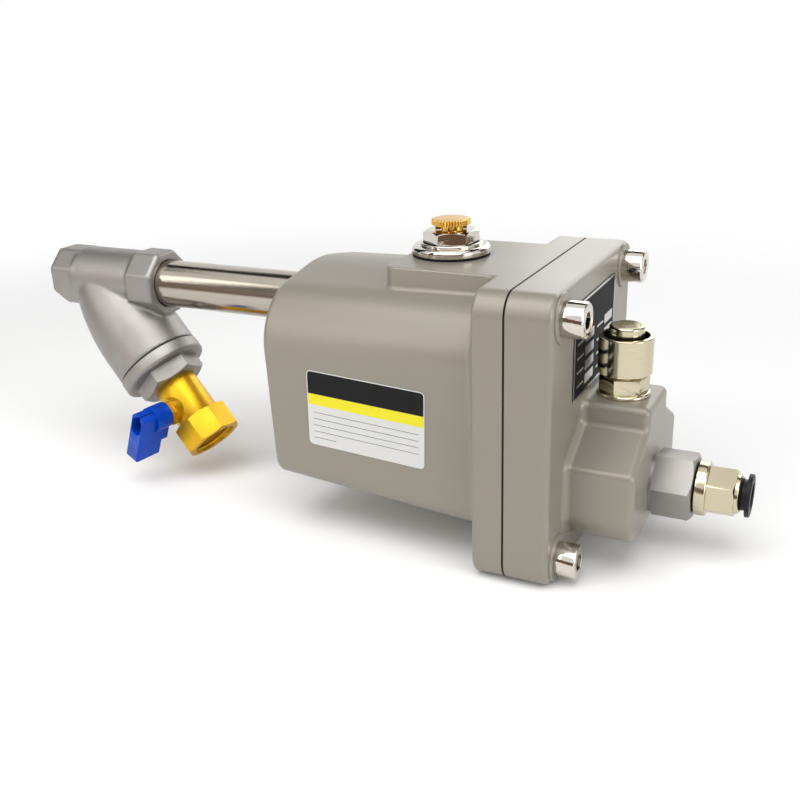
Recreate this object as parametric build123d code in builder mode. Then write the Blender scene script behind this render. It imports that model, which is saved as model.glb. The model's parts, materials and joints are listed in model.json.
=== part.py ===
from build123d import *
import os
from math import cos, radians, sin, tan

# Automatic drain valve: a float chamber with a bolted cover, hung on a pipe
# nipple behind a Y-strainer with a small ball valve on its blow-down leg.
# Millimetres. The origin is the centre of the inlet port's face, +X runs along
# the pipe towards the outlet and +Z is up.

os.makedirs("parts", exist_ok=True)

# ---------------------------------------------------------------- driving sizes
# clearances
RUN_FIT = 0.06  # radial play of a turning or sliding shaft
AIR_GAP = 0.3  # gap between pieces that move apart
EDGE = 1.0  # small rounded edge

# strainer and pipe
PIPE_OD = 21.3
PIPE_BORE = 16.0
PORT_R = 9.5  # threaded socket's wall radius
PORT_DEPTH = 13.0
STRAINER_LENGTH = 61.0
INLET_AF = 26.8
SOCKET_AF = 29.0
OCTAGON_LENGTH = 14.0
BARREL_R = 14.0
LEG_X = 17.2  # where the leg's axis leaves the pipe's axis
LEG_ANGLE = 46.0
LEG_ROLL = 9.0
LEG_R = 20.0
LEG_ROOT = 17.0  # screen's inner end, along the leg
LEG_NECK_AT = 2.0  # leg's narrow root, along the leg
LEG_NECK_R = 12.5
LEG_SWELL_AT = 18.0
LEG_SWELL_R = 17.6
LEG_FULL_AT = 40.0  # where the leg reaches its full radius
LEG_LENGTH = 52.6  # to the cap joint, along the leg
LEG_WALL = 3.0
SCREEN_R = 10.5
SCREEN_WALL = 0.6
SCREEN_HOLE_R = 1.3
SCREEN_ROWS = 7
SCREEN_COLUMNS = 12
CAP_SEAL_T = 0.7
CAP_RING_T = 6.0
CAP_HEX_AF = 28.0
CAP_HEX_T = 7.0
CAP_SPIGOT_T = 6.0
CAP_BORE_R = 8.9
CAP_LIP = 0.4
CAP_RING_EDGE = 1.6
CAP_HEX_TURN = 30.0

# ball valve on the strainer's cap
NIPPLE_R = 6.6
NIPPLE_LENGTH = 9.0
VALVE_R = 10.2
VALVE_BARREL = 19.6
VALVE_CENTRE = 11.5  # ball centre, from the cap's face
VALVE_PORT_R = 4.6
VALVE_CAVITY_R = 8.0
BALL_R = 6.6
SEAT_T = 2.6
TANG_T = 1.6
TANG_WIDTH = 2.4
TANG_LENGTH = 5.0
GROOVE = 0.5
GROOVE_DEPTH = 1.2
END_AF = 25.8
END_FLATS = 8
END_LENGTH = 12.6
END_THREAD_R = 10.3
END_THREAD_DEPTH = 10.0
END_TURN = 12.0
STEM_TURN = 8.4  # stem's direction about the valve's axis
STEM_R = 3.0
STEM_BOSS_R = 6.3
STEM_BOSS_TOP = 12.2
STEM_BOSS_FOOT = 6.2
GLAND_AF = 10.0
GLAND_T = 2.4
HANDLE_TURN = 68.0  # handle's angle from the open position
HANDLE_START = 15.0
HANDLE_WIDTH = 16.5
HANDLE_HUB_R = 6.0
HANDLE_HUB_T = 8.5
HANDLE_T = 8.0
HANDLE_REACH = 19.5
HANDLE_BACK = 4.5
HANDLE_NOTCH = 3.5
HANDLE_NOTCH_START = 11.0
POCKET_WIDTH = 5.8
POCKET_LENGTH = 9.0
HANDLE_SCREW_R = 2.6
HANDLE_SCREW_T = 1.8
HANDLE_SHANK_R = 1.6
HANDLE_SHANK_T = 3.6
DRIVE_LENGTH = 4.0
DRIVE_WIDTH = 0.7

# float chamber
PIPE_VISIBLE = 80.3
PIPE_ENGAGE = 13.0
CHAMBER_LENGTH = 91.0
CHAMBER_WALL = 5.0
SIDE_DRAFT = 0.012
SIDE_LEAN = 0.05
REAR_HALF = 43.0  # half-width of the rear wall at its foot
REAR_FOOT_Z = -64.4
REAR_SHOULDER_Z = 11.0
REAR_RIDGE_Z = 19.4
FOOT_SLOPE = 0.075
TOP_SLOPE = 0.02
SHOULDER_R = 24.0
RIDGE_R = 60.0
FOOT_R = 8.0
REAR_EDGE_R = 3.0
FLANGE_T = 12.0
FLANGE_HALF_Y = 51.7
FLANGE_HALF_Z = 55.5
FLANGE_Z = -31.6
FLANGE_CORNER_R = 8.7
FLANGE_EDGE_R = 1.8
PAD_HALF = 28.0
PAD_LENGTH = 45.0
PAD_CORNER_R = 5.0
PAD_DEPTH = 12.0
PAD_FOOT_R = 2.0
PAD_EDGE_R = 0.8
BLEND_R = 4.0  # hollow between the chamber and its flange
PIPE_BOSS_R = 15.0

# cover and its boss
GASKET_T = 0.8
COVER_T = 16.6
COVER_EDGE_R = 2.2
RECESS_DEPTH = 9.0
RECESS_HALF = 32.0
RECESS_TOP = 12.0
RECESS_FOOT = -72.0
RECESS_R = 10.0
BOSS_LENGTH = 26.0
BOSS_TOP = -24.8
NECK_HALF = 15.0
NECK_FOOT = -32.8
LOBE_HALF = 34.6
LOBE_SHOULDER = -43.6
BOSS_FOOT = -73.6
BOSS_EDGE_R = 3.0
BOSS_FOOT_R = 12.0
BOSS_SEAM_R = 3.0
SCREW_INSET_Y = 11.4  # from the flange's sides
SCREW_INSET_Z = 9.4  # from the flange's top and foot
SCREW_R = 4.0
SCREW_HEAD_R = 6.5
SCREW_HEAD_T = 8.0
SCREW_SOCKET_AF = 6.0
SCREW_SOCKET_T = 4.5
SCREW_PAD_R = 9.0
SCREW_PAD_T = 0.8
SCREW_PAD_EDGE = 0.6

# main valve, upright in the boss
VALVE_AXIS_BACK = 13.6  # from the boss's front face
BUTTON_THREAD_R = 9.0
BUTTON_THREAD_T = 9.0
CYLINDER_R = 8.5
CYLINDER_FOOT = -48.0
CHAMBER_R = 5.5
CHAMBER_FOOT = -71.2
OUTLET_Z = -59.1
OUTLET_PASSAGE_R = 3.0
OUTLET_THREAD_R = 8.3
OUTLET_THREAD_T = 6.6
FEED_R = 2.0
FEED_Z = -68.4
SEAT_TOP = -62.4
SEAT_INSERT_T = 1.8
SEAT_BORE_R = 3.0
PISTON_T = 6.0
PISTON_TOP = -39.4
PISTON_GROOVE = 1.5
ROD_R = 1.8
POPPET_R = 4.2
POPPET_T = 1.6
POPPET_SEAL_T = 0.8
RETURN_SPRING_R = 2.6
RETURN_TURNS = 3.0
WIRE_R = 0.4

# test button on the boss
BASE_FLANGE_R = 10.1
BASE_FLANGE_T = 1.6
BASE_HEX_AF = 16.4
BASE_HEX_T = 5.8
BASE_HEX_TURN = 20.0
SPIGOT_R = 6.0
SPIGOT_T = 3.0
SLEEVE_R = 10.2
SLEEVE_WALL = 1.5
SLEEVE_T = 15.8
SLEEVE_CHAMFER = 1.6
BUTTON_R = 6.6
BUTTON_T = 7.0
BUTTON_PROUD = 3.8
BUTTON_STEM_R = 2.4
BUTTON_SPRING_R = 4.6
BUTTON_WIRE_R = 0.5
BUTTON_TURNS = 4.0

# outlet adapter and push-in fitting
ADAPTER_SEAL_R = 12.0
ADAPTER_SEAL_T = 1.2
ADAPTER_AF = 23.4
ADAPTER_LENGTH = 14.6
ADAPTER_TURN = -8.6
ADAPTER_BORE_R = 4.5
FITTING_THREAD_R = 6.6
FITTING_THREAD_T = 8.0
FITTING_SEAL_R = 9.4
FITTING_SEAL_T = 0.9
FITTING_RING_R = 10.4
FITTING_RING_T = 4.0
FITTING_AF = 17.0
FITTING_HEX_T = 10.0
FITTING_TURN = 30.0
FITTING_NOSE_R = 7.6
FITTING_NOSE_T = 2.0
TUBE_R = 5.05
TUBE_DEPTH = 15.0
GRAB_RING_T = 0.6
GRAB_RING_R = 6.4
TUBE_SEAL_R = 6.4
TUBE_SEAL_T = 2.0
SEAL_SHELF = 4.0  # tube stop to the seal
COLLAR_SLEEVE_R = 5.9
COLLAR_DISC_R = 8.2
COLLAR_DISC_T = 1.7
COLLAR_GAP = 1.8

# vent plug on the pad
VENT_X_FROM_PAD = 16.1
VENT_SEAL_R = 15.2
VENT_SEAL_T = 1.1
VENT_FLANGE_R = 15.5
VENT_FLANGE_T = 3.0
VENT_FLANGE_DOME = 1.8
VENT_HEX_AF = 19.0
VENT_HEX_T = 5.5
VENT_HEX_TURN = 24.0
VENT_BORE_R = 2.0
VENT_THREAD_R = 8.0
VENT_THREAD_T = 7.5
VENT_SCREW_R = 3.4
VENT_SCREW_DEPTH = 9.0
VENT_HEAD_R = 7.0
VENT_HEAD_T = 2.4
VENT_NECK_T = 1.7
VENT_NECK_R = 6.2
VENT_SLOTS = 6
VENT_SLOT_WIDTH = 3.6

# float gear
PIVOT_X_BACK = 8.0  # pivot ahead of the cover's inner face
PIVOT_Z = -26.0
PIVOT_R = 1.5
EAR_GAP = 12.4
EAR_T = 1.6
EAR_R = 4.0
BRACKET_PLATE_T = 1.6
BRACKET_PLATE_HALF = 14.5
BRACKET_PLATE_HEIGHT = 10.0
BRACKET_SCREW_Y = 11.0
BRACKET_SCREW_R = 1.5
BRACKET_SCREW_HEAD_R = 2.8
BRACKET_SCREW_HEAD_T = 1.6
BRACKET_SCREW_LENGTH = 7.0
HUB_R = 3.4
ARM_R = 1.5
ARM_LENGTH = 55.0
ARM_DROP = 10.0
FLOAT_R = 21.0
FLOAT_WALL = 0.6
FLOAT_SOCKET_T = 5.0
FLOAT_SOCKET_R = 3.2
PILOT_DROP = 9.0
PILOT_PAD_R = 2.4
PILOT_PAD_T = 1.2
NOZZLE_R = 2.6
NOZZLE_BORE_R = 0.8
NOZZLE_TIP_R = 1.6
NOZZLE_DEPTH = 5.0
PILOT_PASSAGE_R = 1.0

# plates
PLATE_T = 0.4
PLATE_HALF_Y = 26.4
PLATE_HALF_Z = 18.2
PLATE_Z = -3.4
PLATE_CORNER_R = 1.0
LABEL_T = 0.2
LABEL_LENGTH = 48.0
LABEL_HEIGHT = 31.5
LABEL_BACK = 44.8  # label's centre, from the rear wall
LABEL_Z = -31.8
LABEL_TILT = -2.9
LABEL_CORNER_R = 1.6

# ------------------------------------------------------------- derived stations
rear_x = STRAINER_LENGTH + PIPE_VISIBLE
flange_back_x = rear_x + CHAMBER_LENGTH
split_x = flange_back_x + FLANGE_T
cover_back_x = split_x + GASKET_T
cover_front_x = cover_back_x + COVER_T
recess_x = cover_back_x + RECESS_DEPTH
boss_front_x = cover_front_x + BOSS_LENGTH
pad_top_z = FLANGE_Z + FLANGE_HALF_Z
valve_axis_x = boss_front_x - VALVE_AXIS_BACK
pipe_r = PIPE_OD / 2


def cross_section(x):
    """Plane across the pipe at station x, where a sketch's x is Y and its y is Z."""
    return Plane.YZ.offset(x)


def side_half(x, z):
    """Half-width of the float chamber's drafted side at a station and height."""
    return REAR_HALF + SIDE_DRAFT * (x - rear_x) + SIDE_LEAN * (z - REAR_FOOT_Z)


def chamber_profile(x, inset=0.0):
    """Tombstone profile of the float chamber, drawn inside by an inset."""
    foot = REAR_FOOT_Z - FOOT_SLOPE * (x - rear_x) + inset
    shoulder = REAR_SHOULDER_Z + TOP_SLOPE * (x - rear_x) - inset
    ridge = REAR_RIDGE_Z + TOP_SLOPE * (x - rear_x) - inset
    low = side_half(x, foot) - inset
    high = side_half(x, shoulder) - inset
    with BuildSketch(cross_section(x)) as profile:
        with BuildLine():
            Polyline((-low, foot), (low, foot), (high, shoulder), (0, ridge), (-high, shoulder), close=True)
        make_face()
        fillet(profile.vertices().sort_by(Axis.Y)[-1], RIDGE_R - inset)
        fillet(profile.vertices().sort_by(Axis.X)[0], SHOULDER_R - inset)
        fillet(profile.vertices().sort_by(Axis.X)[-1], SHOULDER_R - inset)
        fillet(profile.vertices().sort_by(Axis.Y)[0:2], FOOT_R - inset / 2)
    return profile.sketch


def hex_prism(plane, across_flats, start, end, turn=0.0, sides=6):
    """Prism with six flats, or as many as are named, between two heights above a plane."""
    with BuildSketch(plane.offset(start)) as profile:
        RegularPolygon(across_flats / 2, sides, major_radius=False, rotation=turn)
    extrude(profile.sketch, amount=end - start)


def disc(plane, radius, start, end, mode=Mode.ADD):
    """Cylinder about a plane's normal between two heights above the plane."""
    with BuildSketch(plane.offset(start)) as profile:
        Circle(radius)
    extrude(profile.sketch, amount=end - start, mode=mode)


def turned_corners(plane, across_flats, end, into):
    """Cuts a hexagon's corners back to the cone that a lathe leaves on its end."""
    flat = across_flats / 2
    reach = flat / cos(radians(30)) + EDGE
    drop = into * (reach - flat) * tan(radians(30))
    with BuildSketch(Plane(origin=plane.origin, x_dir=plane.x_dir, z_dir=-plane.y_dir)) as profile:
        with BuildLine():
            Polyline((flat, end), (reach, end), (reach, end + drop), close=True)
        make_face()
    revolve(profile.sketch, axis=Axis(plane.origin, plane.z_dir), mode=Mode.SUBTRACT)


def coil_path(plane, radius, wire_r, height, turns):
    """Centre line of a helical spring whose wire just touches two planes."""
    path_height = height - 2 * wire_r
    with BuildLine(plane.offset(wire_r)) as line:
        Helix(pitch=path_height / turns, height=path_height, radius=radius)
    return line.line


def save(part, name):
    """Labels a finished piece and writes its STEP file."""
    part.label = name
    export_step(part, f"parts/{name}.step")


# ------------------------------------------------------------ leg and stem axes
leg_dir = Vector(
    cos(radians(LEG_ANGLE)),
    -sin(radians(LEG_ANGLE)) * sin(radians(LEG_ROLL)),
    -sin(radians(LEG_ANGLE)) * cos(radians(LEG_ROLL)),
)
near_dir = (Vector(0, -1, 0) - leg_dir * Vector(0, -1, 0).dot(leg_dir)).normalized()
stem_dir = near_dir * cos(radians(STEM_TURN)) + leg_dir.cross(near_dir) * sin(radians(STEM_TURN))
leg_plane = Plane(origin=(LEG_X, 0, 0), x_dir=stem_dir, z_dir=leg_dir)
leg_axis = Axis(leg_plane.origin, leg_dir)
cap_start = LEG_LENGTH + CAP_SEAL_T
cap_hex_start = cap_start + CAP_RING_T
cap_face = cap_hex_start + CAP_HEX_T
ball_at = cap_face + VALVE_CENTRE
barrel_end = cap_face + VALVE_BARREL
ball_centre = Vector(LEG_X, 0, 0) + leg_dir * ball_at
stem_plane = Plane(origin=ball_centre, x_dir=leg_dir, z_dir=stem_dir)
stem_axis = Axis(ball_centre, stem_dir)
handle_dir = leg_dir * cos(radians(HANDLE_TURN)) + leg_dir.cross(stem_dir) * sin(radians(HANDLE_TURN))
handle_plane = Plane(origin=ball_centre, x_dir=handle_dir, z_dir=stem_dir)
port_plane = Plane(origin=ball_centre, x_dir=stem_dir, z_dir=handle_dir)

# ------------------------------------------------------------------- strainer
with BuildPart() as strainer_body:
    for start, across_flats in ((0, INLET_AF), (STRAINER_LENGTH - OCTAGON_LENGTH, SOCKET_AF)):
        with BuildSketch(cross_section(start)):
            RegularPolygon(across_flats / 2, 8, major_radius=False, rotation=22.5)
        extrude(amount=OCTAGON_LENGTH)
    chamfer(strainer_body.faces().sort_by(Axis.X)[0].edges(), EDGE)
    chamfer(strainer_body.faces().sort_by(Axis.X)[-1].edges(), EDGE)
    barrel_start = OCTAGON_LENGTH - EDGE
    disc(cross_section(0), BARREL_R, barrel_start, STRAINER_LENGTH - barrel_start)
    with BuildSketch(Plane(origin=leg_plane.origin, x_dir=leg_plane.x_dir, z_dir=-leg_plane.y_dir)) as half:
        with BuildLine():
            neck, full = (LEG_NECK_R, LEG_NECK_AT), (LEG_R, LEG_FULL_AT)
            swell = (LEG_SWELL_R, LEG_SWELL_AT)
            Spline(neck, swell, full, tangents=[(1, 2), (0, 1)])
            Polyline(full, (LEG_R, LEG_LENGTH), (0, LEG_LENGTH), (0, LEG_NECK_AT), neck)
        make_face()
    revolve(half.sketch, axis=leg_axis)
    disc(cross_section(0), PORT_R, 0, PORT_DEPTH, mode=Mode.SUBTRACT)
    disc(cross_section(0), pipe_r, STRAINER_LENGTH - PORT_DEPTH, STRAINER_LENGTH, mode=Mode.SUBTRACT)
    disc(cross_section(0), PIPE_BORE / 2, 0, STRAINER_LENGTH, mode=Mode.SUBTRACT)
    disc(leg_plane, LEG_R - LEG_WALL, LEG_ROOT + SCREEN_R, LEG_LENGTH, mode=Mode.SUBTRACT)
    disc(leg_plane, SCREEN_R + AIR_GAP, 0, LEG_LENGTH, mode=Mode.SUBTRACT)
save(strainer_body.part, "strainer_body")

with BuildPart() as strainer_screen:
    screen_start = LEG_ROOT
    screen_length = cap_start - CAP_SPIGOT_T - screen_start
    disc(leg_plane, SCREEN_R, screen_start, screen_start + screen_length)
    disc(leg_plane, SCREEN_R - SCREEN_WALL, screen_start, screen_start + screen_length, mode=Mode.SUBTRACT)
    row_pitch = screen_length / (SCREEN_ROWS + 1)
    for row in range(SCREEN_ROWS):
        ring = leg_plane.offset(screen_start + row_pitch * (row + 1))
        for column in range(SCREEN_COLUMNS // 2):
            turn = 360 / SCREEN_COLUMNS * (column + row % 2 / 2)
            across = Plane(origin=ring.origin, z_dir=ring.x_dir.rotate(Axis((0, 0, 0), leg_dir), turn))
            with BuildSketch(across):
                Circle(SCREEN_HOLE_R)
            extrude(amount=SCREEN_R + EDGE, both=True, mode=Mode.SUBTRACT)
save(strainer_screen.part, "strainer_screen")

with BuildPart() as cap_gasket:
    disc(leg_plane, LEG_R - EDGE / 2, LEG_LENGTH, cap_start)
    disc(leg_plane, LEG_R - LEG_WALL, LEG_LENGTH, cap_start, mode=Mode.SUBTRACT)
save(cap_gasket.part, "cap_gasket")

with BuildPart() as strainer_cap:
    disc(leg_plane, LEG_R + CAP_LIP, cap_start, cap_hex_start)
    fillet(strainer_cap.faces().sort_by(leg_axis)[-1].edges(), CAP_RING_EDGE)
    hex_prism(leg_plane, CAP_HEX_AF, cap_hex_start, cap_face, turn=CAP_HEX_TURN)
    turned_corners(leg_plane, CAP_HEX_AF, cap_face, into=-1)
    disc(leg_plane, LEG_R - LEG_WALL - RUN_FIT, cap_start - CAP_SPIGOT_T, cap_start)
    disc(leg_plane, CAP_BORE_R, cap_start - CAP_SPIGOT_T, cap_hex_start, mode=Mode.SUBTRACT)
    disc(leg_plane, NIPPLE_R, cap_start - CAP_SPIGOT_T, cap_face, mode=Mode.SUBTRACT)
save(strainer_cap.part, "strainer_cap")

# ----------------------------------------------------------------- inlet pipe
with BuildPart() as inlet_pipe:
    pipe_start = STRAINER_LENGTH - PORT_DEPTH
    disc(cross_section(0), pipe_r, pipe_start, rear_x + PIPE_ENGAGE)
    disc(cross_section(0), PIPE_BORE / 2, pipe_start, rear_x + PIPE_ENGAGE, mode=Mode.SUBTRACT)
save(inlet_pipe.part, "inlet_pipe")

# ----------------------------------------------------------------- ball valve
with BuildPart() as valve_body:
    disc(leg_plane, NIPPLE_R, cap_face - NIPPLE_LENGTH, cap_face)
    disc(leg_plane, VALVE_R, cap_face, barrel_end)
    disc(stem_plane, STEM_BOSS_R, STEM_BOSS_FOOT, STEM_BOSS_TOP)
    disc(leg_plane, VALVE_PORT_R, cap_face - NIPPLE_LENGTH, barrel_end, mode=Mode.SUBTRACT)
    disc(leg_plane, VALVE_CAVITY_R, ball_at - BALL_R - AIR_GAP, barrel_end, mode=Mode.SUBTRACT)
    disc(stem_plane, STEM_R + RUN_FIT, 0, STEM_BOSS_TOP, mode=Mode.SUBTRACT)
save(valve_body.part, "valve_body")

end_start = barrel_end + GROOVE
end_face = end_start + END_LENGTH
with BuildPart() as valve_end:
    hex_prism(leg_plane, END_AF, end_start, end_face, turn=END_TURN, sides=END_FLATS)
    turned_corners(leg_plane, END_AF, end_start, into=1)
    turned_corners(leg_plane, END_AF, end_face, into=-1)
    disc(leg_plane, VALVE_R - GROOVE_DEPTH, barrel_end, end_start)
    disc(leg_plane, VALVE_CAVITY_R, ball_at + BALL_R + AIR_GAP, barrel_end)
    disc(leg_plane, VALVE_PORT_R, ball_at, end_face, mode=Mode.SUBTRACT)
    disc(leg_plane, END_THREAD_R, end_face - END_THREAD_DEPTH, end_face, mode=Mode.SUBTRACT)
save(valve_end.part, "valve_end")

with BuildPart() as valve_seats:
    seat_reach = BALL_R + AIR_GAP
    for start in (ball_at - seat_reach, ball_at + seat_reach - SEAT_T):
        disc(leg_plane, VALVE_CAVITY_R, start, start + SEAT_T)
    disc(leg_plane, VALVE_PORT_R, ball_at - seat_reach, ball_at + seat_reach, mode=Mode.SUBTRACT)
    with Locations(leg_plane.offset(ball_at)):
        Sphere(BALL_R + RUN_FIT, mode=Mode.SUBTRACT)
save(valve_seats.part, "valve_seats")

tang_foot = BALL_R - TANG_T
with BuildPart() as valve_ball:
    with Locations(handle_plane):
        Sphere(BALL_R)
    with BuildSketch(handle_plane.offset(tang_foot)):
        Rectangle(4 * BALL_R, TANG_WIDTH)
    extrude(amount=2 * TANG_T, mode=Mode.SUBTRACT)
    disc(port_plane, VALVE_PORT_R, -2 * BALL_R, 2 * BALL_R, mode=Mode.SUBTRACT)
save(valve_ball.part, "valve_ball")

handle_end = HANDLE_START + HANDLE_WIDTH
pocket_floor = HANDLE_START + HANDLE_HUB_T
with BuildPart() as valve_stem:
    disc(stem_plane, STEM_R, BALL_R + RUN_FIT, pocket_floor)
    with BuildSketch(handle_plane.offset(tang_foot)):
        Rectangle(TANG_LENGTH, TANG_WIDTH - 2 * RUN_FIT)
    extrude(amount=TANG_T + EDGE)
    disc(stem_plane, HANDLE_SHANK_R, pocket_floor - HANDLE_SHANK_T, pocket_floor, mode=Mode.SUBTRACT)
save(valve_stem.part, "valve_stem")

with BuildPart() as stem_gland:
    hex_prism(stem_plane, GLAND_AF, STEM_BOSS_TOP, STEM_BOSS_TOP + GLAND_T)
    disc(stem_plane, STEM_R + RUN_FIT, STEM_BOSS_TOP, STEM_BOSS_TOP + GLAND_T, mode=Mode.SUBTRACT)
save(stem_gland.part, "stem_gland")

with BuildPart() as valve_handle:
    with BuildSketch(handle_plane.offset(HANDLE_START)):
        with Locations(((HANDLE_REACH - HANDLE_BACK) / 2, 0)):
            RectangleRounded(HANDLE_REACH + HANDLE_BACK, HANDLE_T, EDGE)
    extrude(amount=HANDLE_WIDTH)
    fillet(valve_handle.faces().sort_by(stem_axis)[-1].edges(), EDGE)
    with BuildSketch(handle_plane.offset(HANDLE_START)):
        with Locations((HANDLE_REACH, 0)):
            Rectangle(2 * (HANDLE_REACH - HANDLE_NOTCH_START), HANDLE_T + EDGE)
    extrude(amount=HANDLE_NOTCH, mode=Mode.SUBTRACT)
    disc(handle_plane, HANDLE_HUB_R, HANDLE_START, pocket_floor)
    disc(handle_plane, STEM_R, HANDLE_START, pocket_floor, mode=Mode.SUBTRACT)
    with BuildSketch(handle_plane.offset(pocket_floor)):
        RectangleRounded(POCKET_LENGTH, POCKET_WIDTH, POCKET_WIDTH / 2 - EDGE / 4)
    extrude(amount=handle_end - pocket_floor, mode=Mode.SUBTRACT)
save(valve_handle.part, "valve_handle")

with BuildPart() as handle_screw:
    disc(handle_plane, HANDLE_SCREW_R, pocket_floor, pocket_floor + HANDLE_SCREW_T)
    disc(handle_plane, HANDLE_SHANK_R, pocket_floor - HANDLE_SHANK_T, pocket_floor)
    with BuildSketch(handle_plane.offset(pocket_floor + HANDLE_SCREW_T)):
        Rectangle(DRIVE_LENGTH, DRIVE_WIDTH)
        Rectangle(DRIVE_WIDTH, DRIVE_LENGTH)
    extrude(amount=-HANDLE_SCREW_T / 2, mode=Mode.SUBTRACT)
save(handle_screw.part, "handle_screw")

# --------------------------------------------------------------- float chamber
vent_x = flange_back_x - PAD_LENGTH + VENT_X_FROM_PAD
screw_y = FLANGE_HALF_Y - SCREW_INSET_Y
screw_z = FLANGE_HALF_Z - SCREW_INSET_Z
screw_places = [(side * screw_y, FLANGE_Z + end * screw_z) for side in (-1, 1) for end in (-1, 1)]


def flange_block(start, end):
    """Rounded rectangle shared by the flange, the gasket and the cover."""
    with BuildSketch(cross_section(start)) as profile:
        with Locations((0, FLANGE_Z)):
            RectangleRounded(2 * FLANGE_HALF_Y, 2 * FLANGE_HALF_Z, FLANGE_CORNER_R)
    extrude(profile.sketch, amount=end - start)


def screw_holes(radius, start, end):
    """The four cover screws' holes between two stations."""
    with BuildSketch(cross_section(start)) as profile:
        with Locations(*screw_places):
            Circle(radius)
    extrude(profile.sketch, amount=end - start, mode=Mode.SUBTRACT)


def edges_at(part, axis, place):
    """Edges of a part that lie wholly in one plane across an axis."""
    return part.edges().filter_by_position(axis, place - RUN_FIT, place + RUN_FIT)


def is_cast_curve(edge):
    """True for the edge that a drafted chamber wall leaves on a flat face."""
    return edge.geom_type == GeomType.BSPLINE


with BuildPart() as flange:
    flange_block(flange_back_x, split_x)
    fillet(flange.faces().sort_by(Axis.X)[0].edges(), FLANGE_EDGE_R)

with BuildPart() as housing:
    loft(sections=[chamber_profile(rear_x), chamber_profile(flange_back_x + 2 * EDGE)])
    fillet(housing.faces().sort_by(Axis.X)[0].edges(), REAR_EDGE_R)
    with BuildSketch(Plane.XY.offset(pad_top_z)):
        with Locations((flange_back_x - PAD_LENGTH / 2 + PAD_CORNER_R, 0)):
            RectangleRounded(PAD_LENGTH + 2 * PAD_CORNER_R, 2 * PAD_HALF, PAD_CORNER_R)
    extrude(amount=-PAD_DEPTH)
    upright = housing.faces().filter_by(lambda face: abs(face.normal_at().Z) < RUN_FIT)
    pad_walls = upright.filter_by(lambda face: face.bounding_box().max.Z > pad_top_z - RUN_FIT)
    fillet([edge for wall in pad_walls for edge in wall.edges() if is_cast_curve(edge)], PAD_FOOT_R)
    fillet(housing.faces().sort_by(Axis.Z)[-1].edges(), PAD_EDGE_R)
    add(flange.part)
    joint = edges_at(housing, Axis.X, flange_back_x)
    pad_sides = joint.filter_by(lambda edge: abs(abs(edge.center().Y) - PAD_HALF) < RUN_FIT)
    fillet(joint.filter_by(is_cast_curve) + pad_sides, BLEND_R)
    hollow = [chamber_profile(x, CHAMBER_WALL) for x in (rear_x + CHAMBER_WALL, split_x)]
    loft(sections=hollow, mode=Mode.SUBTRACT)
    disc(cross_section(0), PIPE_BOSS_R, rear_x + CHAMBER_WALL / 2, rear_x + PIPE_ENGAGE)
    disc(cross_section(0), pipe_r, rear_x, rear_x + PIPE_ENGAGE, mode=Mode.SUBTRACT)
    disc(Plane(origin=(vent_x, 0, pad_top_z)), VENT_THREAD_R, -2 * VENT_THREAD_T, 0, mode=Mode.SUBTRACT)
    screw_holes(SCREW_R, flange_back_x, split_x)
save(housing.part, "housing")

with BuildPart() as cover_gasket:
    flange_block(split_x, cover_back_x)
    with BuildSketch(cross_section(split_x)) as window:
        with Locations((0, (RECESS_TOP + RECESS_FOOT) / 2)):
            RectangleRounded(2 * RECESS_HALF, RECESS_TOP - RECESS_FOOT, RECESS_R)
    extrude(amount=GASKET_T, mode=Mode.SUBTRACT)
    screw_holes(SCREW_R + AIR_GAP, split_x, cover_back_x)
save(cover_gasket.part, "cover_gasket")

# ---------------------------------------------------------------- cover and boss
boss_top_plane = Plane(origin=(valve_axis_x, 0, BOSS_TOP))
valve_plane = Plane(origin=(valve_axis_x, 0, 0))
outlet_plane = Plane(origin=(boss_front_x, 0, OUTLET_Z), x_dir=(0, 1, 0), z_dir=(1, 0, 0))
nozzle_z = PIVOT_Z - PILOT_DROP
recess_plane = Plane(origin=(recess_x, 0, 0), x_dir=(0, 1, 0), z_dir=(1, 0, 0))
nozzle_plane = Plane(origin=(recess_x, 0, nozzle_z), x_dir=(0, 1, 0), z_dir=(1, 0, 0))


def boss_profile():
    """Outline of the valve boss: a narrow neck on a wider lower lobe."""
    neck = [(NECK_HALF, BOSS_TOP), (NECK_HALF, NECK_FOOT)]
    right = neck + [(LOBE_HALF, LOBE_SHOULDER), (LOBE_HALF, BOSS_FOOT)]
    left = [(-y, z) for y, z in reversed(right)]
    with BuildSketch(cross_section(cover_front_x)) as profile:
        with BuildLine():
            Polyline(*right, *left, close=True)
        make_face()
        levels = profile.vertices().group_by(Axis.Y)
        fillet(levels[-1] + levels[-2] + levels[-3], BOSS_EDGE_R)
        fillet(profile.vertices().group_by(Axis.Y)[0], BOSS_FOOT_R)
    return profile.sketch


def on_boss(edge):
    """True for an edge of the boss's outline."""
    across = abs(edge.center().Y) < LOBE_HALF + RUN_FIT
    return across and BOSS_FOOT - RUN_FIT < edge.center().Z < BOSS_TOP + RUN_FIT


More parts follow.
